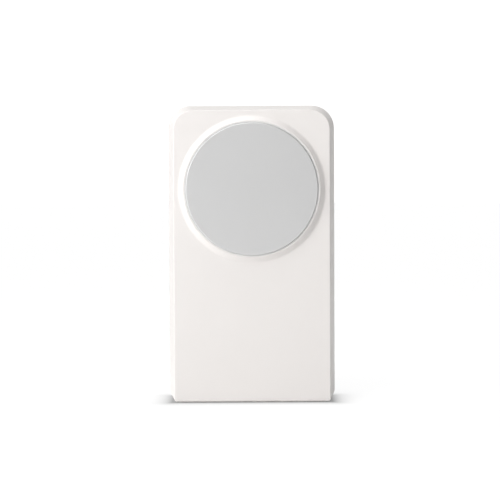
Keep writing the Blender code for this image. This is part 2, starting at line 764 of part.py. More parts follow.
def battery(blue):
    half, front, back, low, high = BATTERY
    radius, steps = BATTERY_CORNER, 4
    corners = (
        (half - radius, front + radius, radius, -90, steps),
        (half - radius, back - radius, radius, 0, steps),
        (radius - half, back - radius, radius, 90, steps),
        (radius - half, front + radius, radius, 180, steps),
    )
    shape = bmesh.new()
    loft(shape, [[place(x, u, z) for x, u in corner_points(corners)] for z in (low, high)])
    part("battery_pack", shape, blue)


def sound(black, foam, rubber, steel):
    (x0, x1), (u0, u1), (z0, z1) = SPEAKER_X, SPEAKER_U, SPEAKER_Z
    boxed("speaker", (x0, u0, z0), (x1, u1, z1), black)
    rim, inside = 1.5, PLINTH + WALL
    low, high = (x0, u0 + 0.2, inside + 0.2), (x1, u1 - 0.2, z0 - 0.2)
    gasket = boxed("speaker_gasket", low, high, foam)
    hole = bmesh.new()
    box(hole, (x0 + rim, u0 + rim, inside - 1.0), (x1 - rim, u1 - rim, z0 + 1.0))
    combine(gasket, hole, "DIFFERENCE")

    x, u = MICROPHONE
    bore, radius = MICROPHONE_BORE, 2.6
    low, high = inside + 0.2, inside + 2.0
    boot = bmesh.new()
    upright(boot, [(bore, low), (radius, low), (radius, high), (bore, high)], x, u, closed=True)
    part("microphone_boot", boot, rubber)
    half = 2.0
    low = high + 0.2
    boxed("microphone", (x - half, u - half, low), (x + half, u + half, low + 1.2), steel)


def smooth_route(points, steps):
    """Points of a smooth curve through the given ones, steps to a stretch."""
    ends = [2 * points[0] - points[1], *points, 2 * points[-1] - points[-2]]
    route = []
    for a, b, c, d in zip(ends, ends[1:], ends[2:], ends[3:]):
        for i in range(steps):
            t = i / steps
            bend = (2 * a - 5 * b + 4 * c - d) * t**2 + (3 * b - 3 * c + d - a) * t**3
            route.append(0.5 * (2 * b + (c - a) * t + bend))
    return [*route, points[-1]]


def lead(name, points, radius, finish):
    """A cable inside the body, as a curve with filled ends."""
    curve = bpy.data.curves.new(name, "CURVE")
    curve.dimensions = "3D"
    curve.bevel_depth = radius * MM
    curve.bevel_resolution = 2
    curve.use_fill_caps = True
    route = smooth_route([place(*p) for p in points], 4)
    line = curve.splines.new("POLY")
    line.points.add(len(route) - 1)
    for target, point in zip(line.points, route):
        target.co = (*point, 1.0)
    curve.materials.append(finish)
    thing = bpy.data.objects.new(name, curve)
    bpy.context.scene.collection.objects.link(thing)


def leads(red, black):
    battery_route = [
        (21.0, 9.5, 57.4),
        (21.0, 10.3, 58.2),
        (20.7, 12.4, 59.5),
        (20.2, 13.1, 62.0),
        (20.0, 13.0, 65.7),
    ]
    lead("battery_lead", battery_route, 0.7, red)
    speaker_route = [
        (-16.0, 10.0, 10.2),
        (-18.0, 10.8, 13.0),
        (-23.5, 12.2, 16.0),
        (-26.0, 13.0, 22.0),
        (-26.2, 13.0, 34.0),
        (-26.0, 13.0, 46.0),
        (-24.0, 12.9, 57.0),
        (-22.2, 12.7, 63.0),
        (-22.0, 12.6, 67.7),
    ]
    lead("speaker_lead", speaker_route, 0.6, black)


def main():
    clear_scene()
    white = material("white_cover", WHITE, 0.42)
    mirror = material("mirror_disc", SILVER, 0.25, 0.6)
    milky = material("milky_plastic", MILKY, 0.35)
    black = material("black_plastic", BLACK, 0.5)
    grey = material("grey_plate", GREY, 0.55)
    rubber = material("rubber", RUBBER, 0.8)
    foam = material("foam", GREY, 0.95)
    green = material("circuit_board", BOARD_GREEN, 0.4)
    steel = material("steel", STEEL, 0.3, 1.0)
    brass = material("brass", BRASS, 0.3, 1.0)
    glass = material("dark_glass", GLASS, 0.05)
    amber = material("flex_cable", AMBER, 0.4)
    blue = material("battery_wrap", BLUE, 0.35)
    red = material("red_plastic", RED, 0.4)

    front_cover(white)
    rear_housing(white)
    housing_gasket(rubber)
    wall_plate(grey)
    fasteners(steel)
    bell_button(mirror, white, black, steel)
    button_surround(milky, black, rubber)
    camera(black, glass, green, amber)
    main_board(green, steel, milky, amber)
    power_parts(green, brass, steel, rubber, amber, red)
    battery(blue)
    sound(black, foam, rubber, steel)
    leads(red, black)


main()
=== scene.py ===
"""How the video doorbell looks: finer meshes over its CAD model, finishes, light and camera.

Lengths are millimetres, and place() turns them into metres in the CAD model's frame. A point is
(x, u, z): x to the right seen from the front, u the depth behind the front face, z up from the base.
"""

import json
import math
import random

import bmesh
import bpy
from mathutils import Matrix, Vector

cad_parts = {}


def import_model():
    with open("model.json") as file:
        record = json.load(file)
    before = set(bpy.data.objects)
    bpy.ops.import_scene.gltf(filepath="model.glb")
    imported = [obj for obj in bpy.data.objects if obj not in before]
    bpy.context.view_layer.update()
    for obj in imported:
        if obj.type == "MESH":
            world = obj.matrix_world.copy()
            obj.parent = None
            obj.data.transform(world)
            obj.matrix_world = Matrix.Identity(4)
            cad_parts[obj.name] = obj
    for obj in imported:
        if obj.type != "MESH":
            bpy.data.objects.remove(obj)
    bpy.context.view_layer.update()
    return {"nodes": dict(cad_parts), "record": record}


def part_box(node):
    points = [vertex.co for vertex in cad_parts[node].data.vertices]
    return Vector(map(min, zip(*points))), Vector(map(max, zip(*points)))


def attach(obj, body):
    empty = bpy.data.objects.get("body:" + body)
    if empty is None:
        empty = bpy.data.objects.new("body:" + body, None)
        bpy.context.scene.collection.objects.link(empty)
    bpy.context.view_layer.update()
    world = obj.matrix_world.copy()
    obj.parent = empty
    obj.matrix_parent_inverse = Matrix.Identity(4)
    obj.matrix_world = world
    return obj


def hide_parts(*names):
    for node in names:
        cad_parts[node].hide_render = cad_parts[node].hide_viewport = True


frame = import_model()
MM = 0.001
DICE = random.Random(7)

# The casing's and the button's dimensions, which follow the CAD model
WIDTH = 73.0
HEIGHT = 128.0
DRAFT = 3.2  # how far the sides and the top lean in from back to front
FRONT_CORNER = 8.4
REAR_CORNER = 10.0
FRONT_BASE_CORNER = 0.8
REAR_BASE_CORNER = 1.8
EDGE = 0.3
BASE_EDGE = 0.6
PLINTH = 0.5  # height of the pad that keeps the base's edges off the ground
WALL = 2.2
BACK_WALL = 2.2
SEAM = 0.3
SEAM_EDGE = ((0.0, 0.12), (0.035, 0.035), (0.12, 0.0))  # each shell's edge at the seam: run, inset
LEDGE = 4.0
PAD_MARGIN = 5.0  # from the body's side to the pad
PAD_SETBACK = 1.8  # from the front or the back to the pad
PAD_SEAM = 0.3  # from the seam to each half of the pad
PAD_CORNER = 1.0
BOSS_HEIGHT = 1.8
BOSS_TOP_RADIUS = 29.1
BOSS_SLOPE = 1.15
BOSS_FILLET = 1.6
BORE_RADIUS = 28.78
DISC_PROUD = 0.6
DISC_EDGE = 0.5
RING_INNER = 28.3
RING_OUTER = 28.76
RING_END = 8.2  # depth of the light ring's rear edge
POST_RADIUS = 3.0
PILOT_RADIUS = 1.4
POST_END = 9.2
REAR_POST_START = 11.0
SCREW_SEAT = 19.4
SCREW_HOLE = 1.5
HEAD_HOLE = 2.9
SPEAKER_SLOTS = 6
SPEAKER_PITCH = 5.0
SPEAKER_FIRST = -17.5  # x of the leftmost speaker slot
SPEAKER_HALF = 0.7  # half a speaker slot's width
SPEAKER_FRONT = 6.0
SPEAKER_BACK = 14.0
MICROPHONE_HOLE = 0.5
MICROPHONE_MOUTH = 1.3
POCKET = (17.0, 32.0, 60.0)  # half width, low and high edge
POCKET_FLOOR = 16.2
POCKET_SKIN = 1.6
POCKET_CORNER = 2.0
PLATE_GAP = 0.2
PLATE_INSET = 2.6
HOOK_X = 20.0
HOOK_Z = 102.0
HOOK_HALF = 3.2
HOOK_NECK = 5.0  # how far the hook reaches below HOOK_Z
HOOK_LIP = 4.5
HOOK_FAR = 20.2  # the depths of the lip's two faces
HOOK_NEAR = 18.4
HOOK_SLOT_HALF = 4.2
HOOK_SLOT_LOW = 87.6
TAB_HALF = 4.4
TAB_FRONT = 18.0
TAB_LOW = 9.3  # above the ledge
TAB_HIGH = 13.3
TAB_SLOT_HALF = 4.9
TAB_SLOT_FRONT = 17.0
TAB_SLOT_TOP = 17.6
SECURITY_HEAD_HOLE = 2.15
SECURITY_HEAD_SEAT = 2.4
SECURITY_HOLE = 1.35
WALL_SLOT_CORNER = 2.48
GROOVE_DEPTH = 0.35
GROOVE_WIDTH = 1.2
GROOVE_REACH = 26.0
ROUND = 48
FINE = 192  # sides of the disc, its ring and the boss
CORNER_STEPS = 20
BASE_STEPS = 6

SCREWS = [f"housing_screw_{i}" for i in (1, 2, 3, 4)]
BOARD_SCREWS = ["board_screw_1", "board_screw_2"]


def millimetres(node):
    """Lowest and highest corner of a CAD node as (x, u, z)."""
    return tuple(Vector((p.x / MM, p.y / MM - FACE, p.z / MM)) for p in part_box(node))


def middle(node):
    low, high = millimetres(node)
    return (low + high) / 2


# The front face is the disc's face set back by how far the disc and the boss stand out
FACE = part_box("button_disc")[0].y / MM + DISC_PROUD + BOSS_HEIGHT
DISC_LOW, DISC_HIGH = millimetres("button_disc")
DISC_Z = (DISC_LOW.z + DISC_HIGH.z) / 2
DISC_RADIUS = (DISC_HIGH.x - DISC_LOW.x) / 2
PARTING = millimetres("front_cover")[1].y
BODY_DEPTH = millimetres("rear_housing")[1].y
BODY_OF = {
    node: body
    for body, nodes in frame["record"]["behaviour"]["bodies"].items()
    for node in nodes
}
SLOT_OF = {entry["node"]: entry["material_slot"] for entry in frame["record"]["subparts"]}


def place(x, u, z):
    return Vector((x * MM, (u + FACE) * MM, z * MM))


# Profiles and outlines


def rounded(points, radii, steps=6):
    """A polyline with its inner corners rounded. One radius for each inner corner, or one for all."""
    if not isinstance(radii, (list, tuple)):
        radii = [radii] * (len(points) - 2)
    made = [Vector(points[0])]
    for before, corner, after, radius in zip(points, points[1:], points[2:], radii):
        before, corner, after = Vector(before), Vector(corner), Vector(after)
        back, ahead = (before - corner).normalized(), (after - corner).normalized()
        angle = back.angle(ahead)
        if radius <= 0:
            made.append(corner)
            continue
        run = radius / math.tan(angle / 2)
        centre = corner + (back + ahead).normalized() * radius / math.sin(angle / 2)
        start, end = corner + back * run - centre, corner + ahead * run - centre
        turn = math.atan2(start.x * end.y - start.y * end.x, start.dot(end))
        made += [centre + Matrix.Rotation(turn * i / steps, 2) @ start for i in range(steps + 1)]
    made.append(Vector(points[-1]))
    return [tuple(p) for p in made]


def closed_round(points, radius, steps=5):
    """A closed outline with every corner rounded."""
    made = []
    for before, corner, after in zip(points[-1:] + points[:-1], points, points[1:] + points[:1]):
        made += rounded([before, corner, after], radius, steps)[1:-1]
    return made


def outline(u, inset=0.0, base=None):
    """The body's outline at a depth, as (x, z), set in all round or by another amount at the base."""
    base = PLINTH + (inset if base is None else base)
    back = u / BODY_DEPTH
    half = WIDTH / 2 - DRAFT * (1 - back) - inset
    top = HEIGHT - DRAFT * (1 - back) - inset
    round_top = max(FRONT_CORNER + (REAR_CORNER - FRONT_CORNER) * back - inset, 0.6)
    round_base = max(FRONT_BASE_CORNER + (REAR_BASE_CORNER - FRONT_BASE_CORNER) * back - inset, 0.3)
    corners = (
        (half - round_base, base + round_base, round_base, -90, BASE_STEPS),
        (half - round_top, top - round_top, round_top, 0, CORNER_STEPS),
        (round_top - half, top - round_top, round_top, 90, CORNER_STEPS),
        (round_base - half, base + round_base, round_base, 180, BASE_STEPS),
    )
    points = []
    for x, z, radius, start, steps in corners:
        for i in range(steps + 1):
            a = math.radians(start + 90 * i / steps)
            points.append((x + radius * math.cos(a), z + radius * math.sin(a)))
    return points


def fillet(run, radius):
    """How far a quarter round of this radius stands in, at this distance from its end."""
    left = max(radius - run, 0.0)
    return radius - math.sqrt(radius**2 - left**2)


def edge_outlines(u, inward):
    """Loops round an edge that ends at depth u, from its tip. Inward is +1 or -1."""
    steps = 7
    runs = [EDGE * (1 - math.cos(math.radians(90 * i / steps))) for i in range(steps + 1)]
    runs += [EDGE + (BASE_EDGE - EDGE) * part for part in (0.33, 0.66, 1.0)]
    loops = []
    for run in runs:
        depth = u + inward * run
        points = outline(depth, fillet(run, EDGE), fillet(run, BASE_EDGE))
        loops.append([(x, depth, z) for x, z in points])
    return loops


def rectangle(x0, z0, x1, z1):
    return [(x0, z0), (x1, z0), (x1, z1), (x0, z1)]


# Meshes


def ring_of(shape, points):
    return [shape.verts.new(place(*p)) for p in points]


def bridge(shape, near, far):
    for i in range(len(near)):
        j = (i + 1) % len(near)
        shape.faces.new((near[i], near[j], far[j], far[i]))


def loft(shape, loops, closed=False):
    rows = [ring_of(shape, loop) for loop in loops]
    for near, far in zip(rows, rows[1:]):
        bridge(shape, near, far)
    if closed:
        bridge(shape, rows[-1], rows[0])
    else:
        shape.faces.new(rows[0])
        shape.faces.new(rows[-1])


def prism(shape, outline_xz, u0, u1):
    loft(shape, [[(x, u, z) for x, z in outline_xz] for u in (u0, u1)])


def box(shape, low, high, radius=0.0):
    """A block, with its four edges along the depth rounded."""
    prism(shape, closed_round(rectangle(low[0], low[2], high[0], high[2]), radius), low[1], high[1])


def bar(shape, section, x0, x1):
    """A piece with the same section all along x. The section lists (u, z)."""
    loft(shape, [[(x, u, z) for u, z in section] for x in (x0, x1)])


def circle(radius, u, x, z, sides):
    turns = [2 * math.pi * i / sides for i in range(sides)]
    return [(x + radius * math.cos(a), u, z + radius * math.sin(a)) for a in turns]


def turned(shape, profile, x=0.0, z=None, sides=ROUND, closed=False):
    """Turned about the depth axis. The profile lists (radius, u)."""
    centre = DISC_Z if z is None else z
    loft(shape, [circle(radius, u, x, centre, sides) for radius, u in profile], closed)


def upright(shape, profile, x, u, sides=ROUND):
    """Turned about a vertical axis. The profile lists (radius, z)."""
    turns = [2 * math.pi * i / sides for i in range(sides)]
    loft(shape, [[(x + r * math.cos(a), u + r * math.sin(a), z) for a in turns] for r, z in profile])


def edge_loop(verts):
    """The edges round a loop of vertices."""
    found = []
    for a, b in zip(verts, verts[1:] + verts[:1]):
        found += [e for e in a.link_edges if e.other_vert(a) is b]
    return found


def fill_between(shape, outer, inner):
    """A flat face between two loops."""
    bmesh.ops.triangle_fill(shape, use_beauty=True, edges=edge_loop(outer) + edge_loop(inner))


def object_from(name, shape):
    bmesh.ops.recalc_face_normals(shape, faces=shape.faces)
    mesh = bpy.data.meshes.new(name)
    shape.to_mesh(mesh)
    shape.free()
    thing = bpy.data.objects.new(name, mesh)
    bpy.context.scene.collection.objects.link(thing)
    return thing


def combine(thing, shape, operation="DIFFERENCE"):
    """Cuts a shape from a mesh, or joins it on, and keeps the result."""
    helper = object_from("helper", shape)
    modifier = thing.modifiers.new(operation, "BOOLEAN")
    modifier.operation = operation
    modifier.solver = "EXACT"
    modifier.object = helper
    graph = bpy.context.evaluated_depsgraph_get()
    result = bpy.data.meshes.new_from_object(thing.evaluated_get(graph))
    thing.modifiers.remove(modifier)
    old = thing.data
    thing.data = result
    bpy.data.meshes.remove(old)
    bpy.data.objects.remove(helper)


def merge(thing, shape):
    """Adds a loose shape to a mesh without a Boolean."""
    bmesh.ops.recalc_face_normals(shape, faces=shape.faces)
    shape.from_mesh(thing.data)
    shape.to_mesh(thing.data)
    shape.free()


def smooth(thing, bevel=0.0, segments=2):
    """Smooth shading with flats kept flat, and edges rounded by a small bevel."""
    if bevel:
        modifier = thing.modifiers.new("edges", "BEVEL")
        modifier.width = bevel * MM
        modifier.segments = segments
        modifier.limit_method = "ANGLE"
        modifier.angle_limit = math.radians(35)
        modifier.use_clamp_overlap = True
    thing.data.shade_smooth()
    thing.data.set_sharp_from_angle(angle=math.radians(50))
    normals = thing.modifiers.new("flats", "WEIGHTED_NORMAL")
    normals.keep_sharp = True


def finished(thing, node, bevel=0.0, segments=2):
    """Shades a piece and lets it stand for a CAD node, on that node's body and in its material."""
    smooth(thing, bevel, segments)
    slot = SLOT_OF[node]
    thing.data.materials.clear()
    thing.data.materials.append(FINISH[slot])
    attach(thing, BODY_OF[node])
    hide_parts(node)
    return thing


def extra(thing, body, slot, bevel=0.0):
    """A detail that no CAD node has of its own."""
    smooth(thing, bevel)
    thing.data.materials.append(FINISH[slot])
    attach(thing, body)


# Finishes


class Nodes:
    """A material's node tree, written line by line."""

    def __init__(self, name):
        self.material = bpy.data.materials.new(name)
        self.material.use_nodes = True
        self.tree = self.material.node_tree
        self.shader = self.tree.nodes["Principled BSDF"]
        self.where = self.add("ShaderNodeTexCoord").outputs["Object"]

    def add(self, kind, **settings):
        node = self.tree.nodes.new(kind)
        for key, value in settings.items():
            setattr(node, key, value)
        return node

    def join(self, source, target):
        self.tree.links.new(source, target)

    def noise(self, size_mm, detail=3.0, rough=0.55, stretch=None):
        """Noise whose features are about size_mm across."""
        node = self.add("ShaderNodeTexNoise")
        node.inputs["Scale"].default_value = 1.0 / (size_mm * MM)
        node.inputs["Detail"].default_value = detail
        node.inputs["Roughness"].default_value = rough
        where = self.where
        if stretch:
            mapping = self.add("ShaderNodeMapping")
            mapping.inputs["Scale"].default_value = stretch
            self.join(where, mapping.inputs["Vector"])
            where = mapping.outputs["Vector"]
        self.join(where, node.inputs["Vector"])
        return node.outputs["Fac"]

    def spread(self, value, low, high, start=0.3, end=0.7):
        """Maps a value onto a range."""
        node = self.add("ShaderNodeMapRange")
        self.join(value, node.inputs["Value"])
        node.inputs["From Min"].default_value = start
        node.inputs["From Max"].default_value = end
        node.inputs["To Min"].default_value = low
        node.inputs["To Max"].default_value = high
        return node.outputs["Result"]

    def maths(self, operation, *values):
        """A Math node. Each value is a number or another node's output."""
        node = self.add("ShaderNodeMath", operation=operation)
        for socket, value in zip(node.inputs, values):
            if isinstance(value, float):
                socket.default_value = value
            else:
                self.join(value, socket)
        return node.outputs["Value"]

    def colour(self, value, dark, light):
        """A base colour between two, by a value."""
        node = self.add("ShaderNodeMix", data_type="RGBA")
        self.join(value, node.inputs["Factor"])
        node.inputs["A"].default_value = (*dark, 1.0)
        node.inputs["B"].default_value = (*light, 1.0)
        self.join(node.outputs["Result"], self.shader.inputs["Base Color"])

    def roughness(self, value, low, high):
        self.join(self.spread(value, low, high), self.shader.inputs["Roughness"])

    def bump(self, value, height_mm, strength=1.0):
        node = self.add("ShaderNodeBump")
        node.inputs["Strength"].default_value = strength
        node.inputs["Distance"].default_value = height_mm * MM
        self.join(value, node.inputs["Height"])
        self.join(node.outputs["Normal"], self.shader.inputs["Normal"])

    def set(self, **values):
        for key, value in values.items():
            self.shader.inputs[key.replace("_", " ")].default_value = value


def scaled(colour, factor):
    return tuple(min(c * factor, 1.0) for c in colour)


def moulded(name, colour, rough, grain=0.35, grain_height=0.004, shift=0.012):
    """Moulded plastic: fine spark-eroded grain, faint flow clouds and uneven gloss."""
    n = Nodes(name)
    n.colour(n.noise(18.0, 3.0), scaled(colour, 1 - shift), scaled(colour, 1 + shift))
    n.roughness(n.noise(3.0, 4.0), rough - 0.04, rough + 0.05)
    n.bump(n.noise(grain, 4.0, 0.6), grain_height)
    return n.material


def mirror_film(name, colour):
    """The one-way mirror: satin silver film with a very faint brushed grain."""
    n = Nodes(name)
    grain = n.noise(0.5, 3.0, 0.6, stretch=(1.0, 1.0, 0.12))
    n.colour(n.noise(22.0, 2.0), scaled(colour, 0.985), scaled(colour, 1.015))
    n.roughness(grain, 0.38, 0.46)
    n.set(Metallic=0.35, Specular_IOR_Level=0.4)
    n.bump(grain, 0.0006)
    return n.material


def metal(name, colour):
    """Drawn metal, with fine scratches all one way."""
    n = Nodes(name)
    scratch = n.noise(0.9, 4.0, 0.65, stretch=(1.0, 1.0, 14.0))
    n.colour(n.noise(2.5, 3.0), scaled(colour, 0.93), scaled(colour, 1.05))
    n.roughness(scratch, 0.22, 0.42)
    n.set(Metallic=1.0)
    n.bump(scratch, 0.003, 0.5)
    return n.material


def silicone(name, colour, rough=0.75):
    n = Nodes(name)
    n.colour(n.noise(4.0, 4.0), scaled(colour, 0.85), scaled(colour, 1.25))
    n.roughness(n.noise(1.2, 3.0), rough - 0.08, rough + 0.1)
    n.bump(n.noise(0.25, 4.0, 0.6), 0.006)
    return n.material


def foam(name, colour):
    n = Nodes(name)
    cells = n.add("ShaderNodeTexVoronoi")
    cells.inputs["Scale"].default_value = 1.0 / (0.35 * MM)
    n.join(n.where, cells.inputs["Vector"])
    n.colour(cells.outputs["Distance"], scaled(colour, 0.55), scaled(colour, 1.2))
    n.set(Roughness=0.95)
    n.bump(cells.outputs["Distance"], 0.12)
    return n.material


def board(name, colour):
    """Solder mask over a pattern of copper tracks and pads."""
    n = Nodes(name)
    tracks = n.add("ShaderNodeTexBrick", offset=0.37, squash=1.6)
    tracks.inputs["Scale"].default_value = 1.0 / (3.2 * MM)
    tracks.inputs["Mortar Size"].default_value = 0.018
    tracks.inputs["Color1"].default_value = (*scaled(colour, 0.9), 1.0)
    tracks.inputs["Color2"].default_value = (*scaled(colour, 1.15), 1.0)
    tracks.inputs["Mortar"].default_value = (*scaled(colour, 1.9), 1.0)
    turn = n.add("ShaderNodeMapping")
    turn.inputs["Rotation"].default_value = (math.radians(90), 0.0, 0.0)
    n.join(n.where, turn.inputs["Vector"])
    n.join(turn.outputs["Vector"], tracks.inputs["Vector"])
    n.join(tracks.outputs["Color"], n.shader.inputs["Base Color"])
    n.roughness(n.noise(2.0, 3.0), 0.32, 0.5)
    n.set(Coat_Weight=0.3, Coat_Roughness=0.2)
    n.bump(tracks.outputs["Fac"], 0.02)
    return n.material


def dark_glass(name, colour):
    n = Nodes(name)
    n.colour(n.noise(3.0, 2.0), scaled(colour, 0.7), scaled(colour, 1.4))
    n.roughness(n.noise(5.0, 2.0), 0.03, 0.08)
    n.set(Coat_Weight=1.0, Coat_Roughness=0.02, Coat_Tint=(0.75, 0.85, 1.0, 1.0))
    n.bump(n.noise(1.5, 2.0), 0.0005)
    return n.material


def flexible(name, colour):
    """Amber polyimide with copper tracks that show through."""
    n = Nodes(name)
    bands = n.add("ShaderNodeTexWave", bands_direction="X")
    bands.inputs["Scale"].default_value = 1.0 / (1.6 * MM)
    bands.inputs["Distortion"].default_value = 0.0
    n.join(n.where, bands.inputs["Vector"])
    n.colour(bands.outputs["Fac"], scaled(colour, 0.75), scaled(colour, 1.3))
    n.roughness(n.noise(2.0, 3.0), 0.28, 0.45)
    n.bump(bands.outputs["Fac"], 0.01)
    return n.material


def film_wrap(name, colour):
    """Shrink film with faint wrinkles."""
    n = Nodes(name)
    wrinkle = n.noise(6.0, 5.0, 0.5, stretch=(1.0, 1.0, 3.0))
    n.colour(n.noise(9.0, 3.0), scaled(colour, 0.85), scaled(colour, 1.15))
    n.roughness(wrinkle, 0.2, 0.42)
    n.set(Coat_Weight=0.4)
    n.bump(wrinkle, 0.05)
    return n.material


def light_guide(name, colour):
    n = Nodes(name)
    n.colour(n.noise(6.0, 2.0), scaled(colour, 0.97), scaled(colour, 1.02))
    n.roughness(n.noise(1.5, 3.0), 0.3, 0.42)
    n.set(Subsurface_Weight=0.1, Subsurface_Scale=0.001, Subsurface_Radius=(1.0, 1.0, 1.0))
    n.bump(n.noise(0.4, 3.0), 0.002)
    return n.material


WHITE = (0.815, 0.785, 0.765)
FINISH = {
    "white_cover": moulded("white_cover", WHITE, 0.44),
    "white_inner": moulded("white_inner", WHITE, 0.40),
    "mirror_disc": mirror_film("mirror_disc", (0.685, 0.685, 0.685)),
    "milky_plastic": light_guide("milky_plastic", (0.84, 0.83, 0.82)),
    "black_plastic": moulded("black_plastic", (0.022, 0.022, 0.025), 0.5, shift=0.15),
    "grey_plate": moulded("grey_plate", (0.19, 0.195, 0.205), 0.55, 0.5, 0.02, 0.05),
    "rubber": silicone("rubber", (0.03, 0.03, 0.033)),
    "foam": foam("foam", (0.09, 0.09, 0.095)),
    "circuit_board": board("circuit_board", (0.012, 0.10, 0.045)),
    "steel": metal("steel", (0.60, 0.59, 0.57)),
    "brass": metal("brass", (0.66, 0.46, 0.20)),
    "dark_glass": dark_glass("dark_glass", (0.015, 0.02, 0.035)),
    "flex_cable": flexible("flex_cable", (0.40, 0.17, 0.03)),
    "battery_wrap": film_wrap("battery_wrap", (0.02, 0.06, 0.20)),
    "red_plastic": moulded("red_plastic", (0.42, 0.02, 0.015), 0.35, shift=0.05),
    "black_cable": silicone("black_cable", (0.02, 0.02, 0.022), 0.6),
}


# Casing


def pad(shape, near, far):
    """The low pad under the base, between two depths."""
    half = WIDTH / 2 - PAD_MARGIN
    section = closed_round(rectangle(-half, near, half, far), PAD_CORNER)
    loft(shape, [[(x, u, z) for x, u in section] for z in (0.0, PLINTH + 1.0)])


def cover_shell():
    """The front cover: leaning sides, rounded front edge, and the boss that flows out of the face."""
    inside = [(WALL, WALL), (PARTING - 0.1, WALL), (PARTING, WALL + 0.1)]
    rim = [(PARTING - run, inset) for run, inset in SEAM_EDGE]
    loops = [[(x, u, z) for x, z in outline(u, inset)] for u, inset in inside + rim]
    side_start, side_end, steps = PARTING - 1.0, BASE_EDGE + 0.6, 6
    for i in range(steps + 1):
        u = side_start + (side_end - side_start) * i / steps
        loops.append([(x, u, z) for x, z in outline(u)])
    loops += edge_outlines(0.0, 1)[::-1]
    loops.append([(x, 0.0, z) for x, z in outline(0.0, EDGE + 0.06, BASE_EDGE + 0.06)])
    shape = bmesh.new()
    rows = [ring_of(shape, loop) for loop in loops]
    for near, far in zip(rows, rows[1:]):
        bridge(shape, near, far)

    slope_end = BOSS_TOP_RADIUS + BOSS_SLOPE * BOSS_HEIGHT
    top = -BOSS_HEIGHT
    section = [(slope_end + 1.0, 0.0), (slope_end, 0.0), (BOSS_TOP_RADIUS, top)]
    section += [(BORE_RADIUS, top), (BORE_RADIUS, WALL)]
    profile = rounded(section, [BOSS_FILLET, 0.12, 0.02], 8)
    boss = [ring_of(shape, circle(r, u, 0.0, DISC_Z, FINE)) for r, u in profile]
    for near, far in zip(boss, boss[1:]):
        bridge(shape, near, far)
    fill_between(shape, rows[-1], boss[0])
    fill_between(shape, rows[0], boss[-1])
    cover = object_from("cover_shell", shape)
    foot = bmesh.new()
    pad(foot, PAD_SETBACK, PARTING - PAD_SEAM)
    combine(cover, foot, "UNION")

    holes = bmesh.new()
    through = PLINTH + WALL + 1.0
    slot = rectangle(-SPEAKER_HALF, SPEAKER_FRONT, SPEAKER_HALF, SPEAKER_BACK)
    slot = closed_round(slot, SPEAKER_HALF - 0.01, 6)
    for i in range(SPEAKER_SLOTS):
        centre = SPEAKER_FIRST + SPEAKER_PITCH * i
        loft(holes, [[(centre + x, u, z) for x, u in slot] for z in (-1.0, through)])
    boot = middle("microphone_boot")
    funnel = [(MICROPHONE_MOUTH, -0.4), (MICROPHONE_HOLE, PLINTH), (MICROPHONE_HOLE, through)]
    upright(holes, funnel, boot.x, boot.y, 32)
    combine(cover, holes)

    posts = bmesh.new()
    root = WALL - 0.4
    for node in SCREWS + BOARD_SCREWS:
        spot = middle(node)
        outside = [(POST_RADIUS, root), (POST_RADIUS, POST_END)]
        inside = [(PILOT_RADIUS, POST_END), (PILOT_RADIUS, root)]
        turned(posts, outside + inside, spot.x, spot.z, 32, closed=True)
    merge(cover, posts)
    finished(cover, "front_cover", bevel=0.1)


